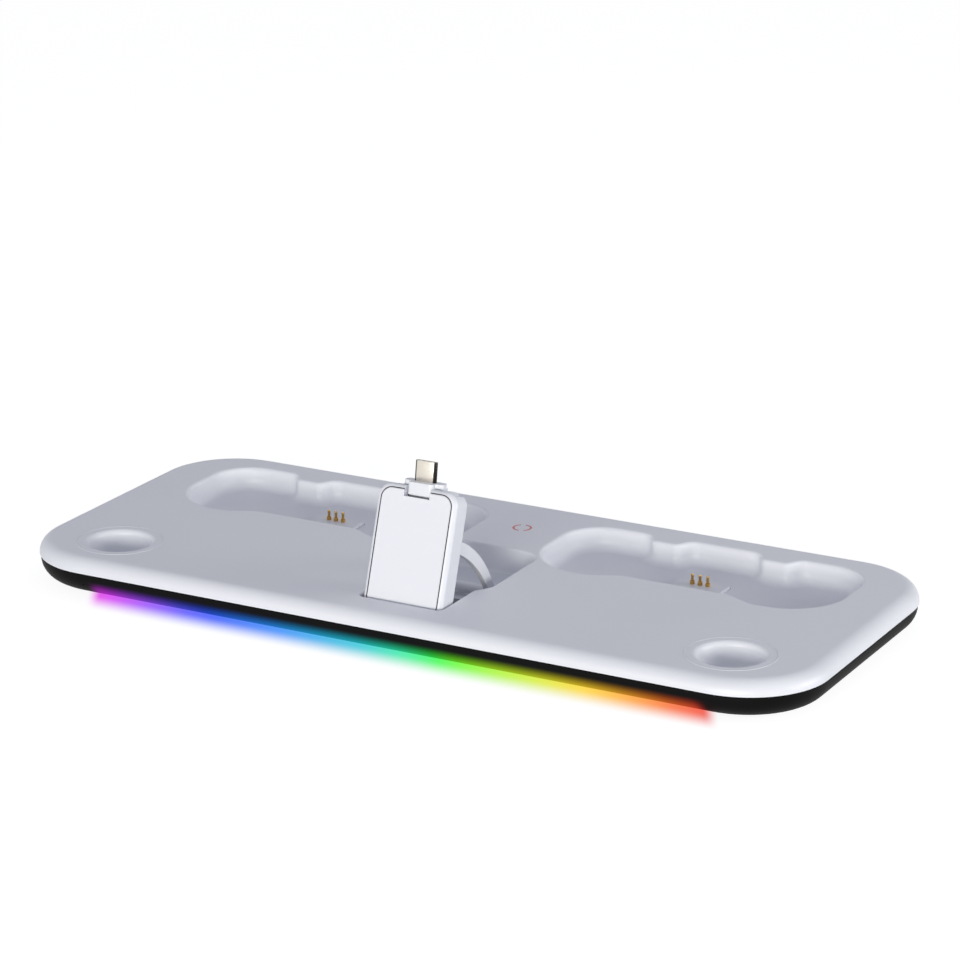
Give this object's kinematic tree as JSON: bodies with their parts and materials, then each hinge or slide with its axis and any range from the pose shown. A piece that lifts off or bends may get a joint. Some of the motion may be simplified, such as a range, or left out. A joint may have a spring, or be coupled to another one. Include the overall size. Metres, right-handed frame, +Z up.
{
  "type": "controller charging dock",
  "caption": "Low rounded charging dock with controller cradles, sprung contacts, grip cups, a fold-up plug stand with a prop leg and a coloured light bar.",
  "frame": {"origin": "under the middle of the dock, on the surface it stands on", "axes": "+X to the dock's right seen from the front, +Y to the back, +Z up"},
  "size_m": [0.306, 0.134, 0.0603],
  "materials": {
    "white_plastic": "satin moulded",
    "black_plastic": "fine matte",
    "light_diffuser": "milky, lit",
    "red_light_pipe": "lit red",
    "circuit_board": "solder mask",
    "chip_black": "moulded",
    "led_white": "clear resin",
    "gold_plate": "gold plated",
    "nickel_plate": "satin nickel",
    "steel": "plain",
    "rubber": "matte"
  },
  "bodies": {
    "dock": {"top_shell": "white_plastic", "grip_cup_left": "white_plastic", "grip_cup_right": "white_plastic", "contact_block_left": "white_plastic", "contact_block_right": "white_plastic", "base_shell": "black_plastic", "inlet_tongue": "black_plastic", "light_bar": "light_diffuser", "touch_ring": "red_light_pipe", "light_board": "circuit_board", "main_board": "circuit_board", "touch_board": "circuit_board", "contact_board_left": "circuit_board", "contact_board_right": "circuit_board", "charge_parts": "chip_black", "light_leds": "led_white", "contact_barrel_1": "gold_plate", "contact_barrel_2": "gold_plate", "contact_barrel_3": "gold_plate", "contact_barrel_4": "gold_plate", "contact_barrel_5": "gold_plate", "contact_barrel_6": "gold_plate", "inlet_shell": "nickel_plate", "hinge_pin": "steel", "case_screws": "steel", "foot_1": "rubber", "foot_2": "rubber", "foot_3": "rubber", "foot_4": "rubber"},
    "stand": {"stand_body": "white_plastic", "stand_front": "white_plastic", "stand_board": "circuit_board", "leg_pin_left": "steel", "leg_pin_right": "steel"},
    "leg": {"prop_leg": "white_plastic"},
    "plug": {"plug_block": "white_plastic", "plug_shell": "nickel_plate", "plug_liner": "black_plastic"},
    "contact_pin_1": {"contact_pin_1": "gold_plate"},
    "contact_pin_2": {"contact_pin_2": "gold_plate"},
    "contact_pin_3": {"contact_pin_3": "gold_plate"},
    "contact_pin_4": {"contact_pin_4": "gold_plate"},
    "contact_pin_5": {"contact_pin_5": "gold_plate"},
    "contact_pin_6": {"contact_pin_6": "gold_plate"}
  },
  "joints": [
    {"name": "stand_fold", "type": "hinge", "parent": "dock", "child": "stand", "pos_m": [0, -0.0471, 0.0109], "axis": [1, 0, 0], "range_deg": [-72, 0]},
    {"name": "leg_swing", "type": "hinge", "parent": "stand", "child": "leg", "pos_m": [0, -0.03588, 0.03249], "axis": [1, 0, 0], "range_deg": [0, 115.4]},
    {"name": "plug_tilt", "type": "hinge", "parent": "stand", "child": "plug", "pos_m": [0, -0.03379, 0.04474], "axis": [1, 0, 0], "range_deg": [-10, 4]},
    {"name": "contact_travel_1", "type": "slide", "parent": "dock", "child": "contact_pin_1", "axis": [0, 0, -1], "range_m": [0, 0.0012], "stiffness_N_per_m": 200},
    {"name": "contact_travel_2", "type": "slide", "parent": "dock", "child": "contact_pin_2", "axis": [0, 0, -1], "range_m": [0, 0.0012], "stiffness_N_per_m": 200},
    {"name": "contact_travel_3", "type": "slide", "parent": "dock", "child": "contact_pin_3", "axis": [0, 0, -1], "range_m": [0, 0.0012], "stiffness_N_per_m": 200},
    {"name": "contact_travel_4", "type": "slide", "parent": "dock", "child": "contact_pin_4", "axis": [0, 0, -1], "range_m": [0, 0.0012], "stiffness_N_per_m": 200},
    {"name": "contact_travel_5", "type": "slide", "parent": "dock", "child": "contact_pin_5", "axis": [0, 0, -1], "range_m": [0, 0.0012], "stiffness_N_per_m": 200},
    {"name": "contact_travel_6", "type": "slide", "parent": "dock", "child": "contact_pin_6", "axis": [0, 0, -1], "range_m": [0, 0.0012], "stiffness_N_per_m": 200}
  ],
  "couplings": [
    {"joint": "leg_swing", "follows": "stand_fold", "ratio": -1.602}
  ]
}
